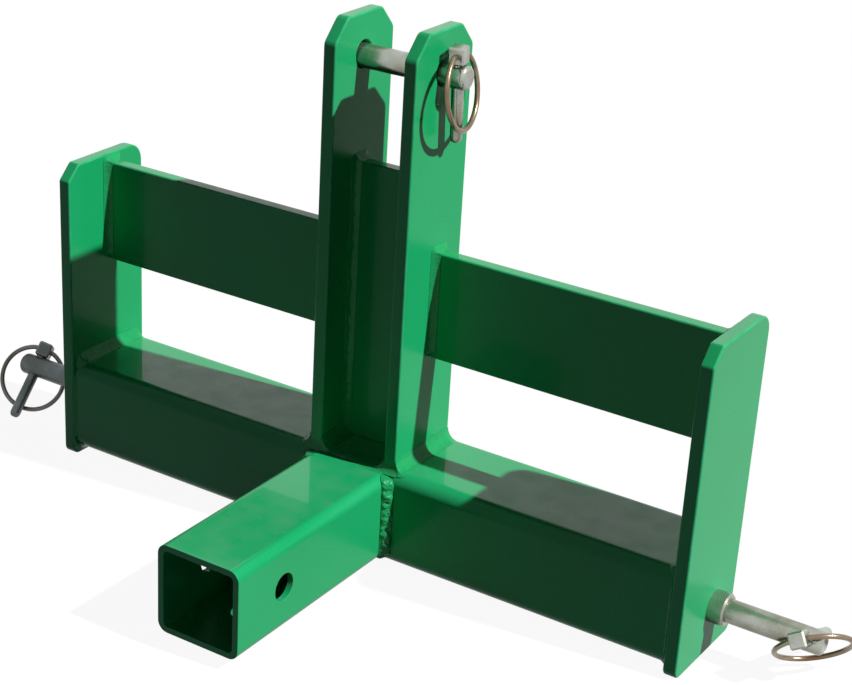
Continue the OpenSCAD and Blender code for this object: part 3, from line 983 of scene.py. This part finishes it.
@dataclass(frozen=True)
class WireSweep:
    """The node tree that sweeps round wire along a path of points."""

    TREE_NAME: ClassVar[str] = "wire_sweep"

    radius: float = 1.75 * MM
    sides: int = 20

    def tree(self) -> bpy.types.NodeTree:
        """Builds the tree, whose named inputs are the wire's sizes."""
        maker = TreeMaker(self.TREE_NAME, "GeometryNodeTree")
        maker.takes("Geometry", "Geometry")
        maker.takes("Radius", "Float", self.radius)
        maker.takes("Sides", "Int", self.sides)
        maker.takes("Finish", "Material")
        maker.gives("Geometry", "Geometry")
        line = maker.value("GeometryNodeMeshToCurve", Mesh=maker.given("Geometry"))
        loop = maker.value("GeometryNodeCurvePrimitiveCircle", Resolution=maker.given("Sides"),
                           Radius=maker.given("Radius"))
        return maker.finish_mesh(maker.value("GeometryNodeCurveToMesh", Curve=line, Profile_Curve=loop,
                                             Fill_Caps=True))

    def build(self, name: str, path: Sequence[Vector], material: bpy.types.Material) -> bpy.types.Object:
        """Sweeps one wire along the points of its middle, as a plain mesh."""
        mesh = bpy.data.meshes.new(name)
        mesh.from_pydata(path, [(i, i + 1) for i in range(len(path) - 1)], [])
        return run_sweep(name, mesh, material, self, {"Radius": self.radius, "Sides": self.sides})


@dataclass(frozen=True)
class LinchPin:
    """One linch pin with its spring ring, and how it sits in the pin that it locks."""

    label: str
    x: float
    y: float
    z: float
    roll: float
    turn: float
    tilt: float
    # Whether pin and ring take the darker copies that paint their shade.
    shaded: bool = False
    head_width: float = 11.0 * MM
    hinge_up: float = 13.84 * MM
    ring_radius: float = 24.5 * MM
    bend_radius: float = 6.0 * MM
    end_gap: float = 0.5 * MM
    bend_gap: float = 0.8 * MM
    end_steps: int = 6
    bend_steps: int = 10
    arc_steps: int = 90
    edges: SoftEdges = SoftEdges(width=0.45 * MM)

    def place(self) -> Matrix:
        """The ring's place: its hinge line over the crossing of the linch pin's and the locked pin's axes."""
        roll, turn, tilt = (math.radians(v) for v in (self.roll, self.turn, self.tilt))
        return (Matrix.Translation((self.x, self.y, self.z)) @ Matrix.Rotation(roll, 4, "X")
                @ Matrix.Rotation(turn, 4, "Z") @ Matrix.Translation((0, 0, self.hinge_up))
                @ Matrix.Rotation(tilt, 4, "X"))

    def ring_path(self) -> list[Vector]:
        """The middle line of the ring's wire, from one end in the head round to the other."""
        r, b = self.ring_radius, self.bend_radius
        bend_x = self.head_width / 2 + self.bend_gap
        drop = b + math.sqrt((r - b) ** 2 - bend_x**2)
        bend = math.asin(bend_x / (r - b))
        reach = math.pi - bend
        end = bend_x - self.end_gap
        flat = [(self.end_gap + end * i / self.end_steps, 0.0) for i in range(self.end_steps)]
        for i in range(self.bend_steps):
            a = bend * i / self.bend_steps
            flat.append((bend_x + b * math.sin(a), -b + b * math.cos(a)))
        for i in range(self.arc_steps + 1):
            a = bend + reach * i / self.arc_steps
            flat.append((r * math.sin(a), -drop + r * math.cos(a)))
        flat += [(-x, z) for x, z in reversed(flat[:-1])]
        there = self.place()
        return [there @ Vector((x, 0, z)) for x, z in flat]

    def build(self, finishes: Finishes) -> None:
        """Builds the pin and its ring."""
        steel = finishes.shaded_plate if self.shaded else finishes.plate
        wire = finishes.shaded_wire if self.shaded else finishes.wire
        node, ring = f"{self.label}_linch_pin", f"{self.label}_linch_ring"
        fasten(self.edges.dress(node, f"plated_{node}", steel), node)
        fasten(WireSweep().build(f"wire_{ring}", self.ring_path(), wire), ring)


@dataclass
class PinSet:
    """The two hitch pins, the top link pin and the three linch pins."""

    finishes: Finishes
    edges: SoftEdges = SoftEdges(width=0.4 * MM, steps=2, sharp=math.radians(24))
    linch_pins: tuple[LinchPin, ...] = (
        LinchPin("left", -324.5 * MM, 160.7 * MM, -7.15 * MM, -41.0, 25.0, 9.5, shaded=True),
        LinchPin("right", 317.5 * MM, 160.7 * MM, -7.15 * MM, 68.5, 31.0, -17.0),
        LinchPin("top", 44.8 * MM, 153.1 * MM, 301.59 * MM, 3.0, -80.5, 8.0),
    )

    def build(self) -> None:
        """Builds every pin."""
        for node in ("left_hitch_pin", "right_hitch_pin", "top_link_pin"):
            # The left hitch pin takes the darker plating that paints its shade.
            steel = self.finishes.shaded_plate if node.startswith("left") else self.finishes.plate
            fasten(self.edges.dress(node, f"plated_{node}", steel), node)
        for pin in self.linch_pins:
            pin.build(self.finishes)


@dataclass(frozen=True)
class Studio:
    """Floor, backdrop and light, plain and pale, with the main light from the photograph's side."""

    sun: tuple[float, float, float] = (0.701, 0.077, 0.708)
    sun_strength: float = 4.3
    sun_angle: float = math.radians(1.0)
    sun_colour: Colour = (1.0, 0.985, 0.955)
    fill: float = 0.028
    floor_glow: float = 0.93
    floor_white: float = 0.08
    floor_half: float = 30.0

    def build(self) -> None:
        """Builds the floor, the world and the lamp."""
        self._world()
        self._floor()
        data = bpy.data.lights.new("key_light", "SUN")
        data.energy = self.sun_strength
        data.angle = self.sun_angle
        data.color = self.sun_colour
        lamp = bpy.data.objects.new("key_light", data)
        lamp.rotation_mode = "QUATERNION"
        lamp.rotation_quaternion = Vector(self.sun).to_track_quat("Z", "Y")
        bpy.context.scene.collection.objects.link(lamp)

    @staticmethod
    def _seen(tree: bpy.types.NodeTree) -> Field:
        """1 for the rays that look straight at the backdrop or see it in metal or glass, otherwise 0."""
        rays = tree.nodes.new("ShaderNodeLightPath")
        camera, glossy, through = (Field(tree, rays.outputs[f"Is {kind} Ray"])
                                   for kind in ("Camera", "Glossy", "Transmission"))
        return camera.math("MAXIMUM", glossy).math("MAXIMUM", through)

    def _world(self) -> None:
        """White where it is seen, and a low even fill as light."""
        world = bpy.data.worlds.new("studio_world")
        bpy.context.scene.world = world
        world.use_nodes = True
        tree = world.node_tree
        back = tree.nodes["Background"]
        back.inputs["Color"].default_value = (1.0, 1.0, 1.0, 1.0)
        strength = self._seen(tree) * (1.0 - self.fill) + self.fill
        tree.links.new(strength.socket, back.inputs["Strength"])

    def _floor(self) -> None:
        """A plain floor, white where it is seen, that keeps the shadow and throws little light back."""
        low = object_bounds()[0].z
        half = self.floor_half
        mesh = bpy.data.meshes.new("studio_floor")
        corners = [(-half, -half, low), (half, -half, low), (half, half, low), (-half, half, low)]
        mesh.from_pydata(corners, [], [(0, 1, 2, 3)])
        made = bpy.data.materials.new("studio_floor")
        made.use_nodes = True
        tree = made.node_tree
        tree.nodes.clear()
        diffuse = tree.nodes.new("ShaderNodeBsdfDiffuse")
        glow = tree.nodes.new("ShaderNodeEmission")
        both = tree.nodes.new("ShaderNodeAddShader")
        out = tree.nodes.new("ShaderNodeOutputMaterial")
        seen = self._seen(tree)
        diffuse.inputs["Color"].default_value = (*[self.floor_white] * 3, 1.0)
        tree.links.new((seen * self.floor_glow).socket, glow.inputs["Strength"])
        tree.links.new(diffuse.outputs[0], both.inputs[0])
        tree.links.new(glow.outputs[0], both.inputs[1])
        tree.links.new(both.outputs[0], out.inputs["Surface"])
        floor = as_object("studio_floor", mesh, made)
        floor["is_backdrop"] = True


@dataclass(frozen=True)
class PhotoCamera:
    """The photograph's camera, from a fit of the object's sizes to the picture."""

    azimuth: float = 33.0231
    elevation: float = 24.8073
    roll: float = 2.5904
    across: float = -12.19 * MM
    upward: float = -115.44 * MM
    distance: float = 1377.67 * MM
    focal_pixels: float = 1997.06
    centre: tuple[float, float] = (362.0, 377.0)
    aim: tuple[float, float, float] = (0.0, 115.0 * MM, -31.75 * MM)
    sensor_width: float = 36.0

    def build(self) -> None:
        """Makes the camera and gives it to the scene."""
        a, e, r = (math.radians(v) for v in (self.azimuth, self.elevation, self.roll))
        back = Vector((math.sin(a) * math.cos(e), -math.cos(a) * math.cos(e), math.sin(e)))
        right = Vector((0, 0, 1)).cross(back).normalized()
        up = back.cross(right)
        turned_right = right * math.cos(r) + up * math.sin(r)
        turned_up = up * math.cos(r) - right * math.sin(r)
        spot = turned_right * -self.across + turned_up * -self.upward + back * self.distance
        data = bpy.data.cameras.new("photo_camera")
        data.sensor_width = self.sensor_width
        data.lens = self.focal_pixels * self.sensor_width / PHOTO_WIDTH
        data.shift_x = (PHOTO_WIDTH / 2 - self.centre[0]) / PHOTO_WIDTH
        data.shift_y = (self.centre[1] - PHOTO_HEIGHT / 2) / PHOTO_WIDTH
        data.clip_start, data.clip_end = 0.05, 100.0
        camera = bpy.data.objects.new("photo_camera", data)
        axes = Matrix((turned_right, turned_up, back)).transposed()
        camera.rotation_mode = "QUATERNION"
        camera.rotation_quaternion = axes.to_quaternion()
        camera.location = spot + Vector(self.aim)
        bpy.context.scene.collection.objects.link(camera)
        bpy.context.scene.camera = camera


def dress_nodes(finishes: Finishes) -> None:
    """Gives every CAD node its finish too, so that none is left plain where it shows."""
    slots = {row["node"]: Slot(row["material_slot"]) for row in frame["record"]["subparts"]}
    by_slot = {Slot.PAINT: finishes.paint, Slot.PLATE: finishes.plate, Slot.SPRING: finishes.wire}
    for name, node in frame["nodes"].items():
        node.data.materials.clear()
        node.data.materials.append(by_slot[slots[name]])


def main() -> None:
    """Builds the whole scene."""
    logging.basicConfig(level=logging.INFO, format="%(name)s: %(message)s")
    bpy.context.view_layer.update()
    bpy.context.scene.view_settings.view_transform = "Standard"
    PhotoCamera().build()
    Studio().build()
    finishes = Finishes()
    dress_nodes(finishes)
    WeldedFrame(finishes).build()
    PinSet(finishes).build()


if __name__ == "__main__":
    main()
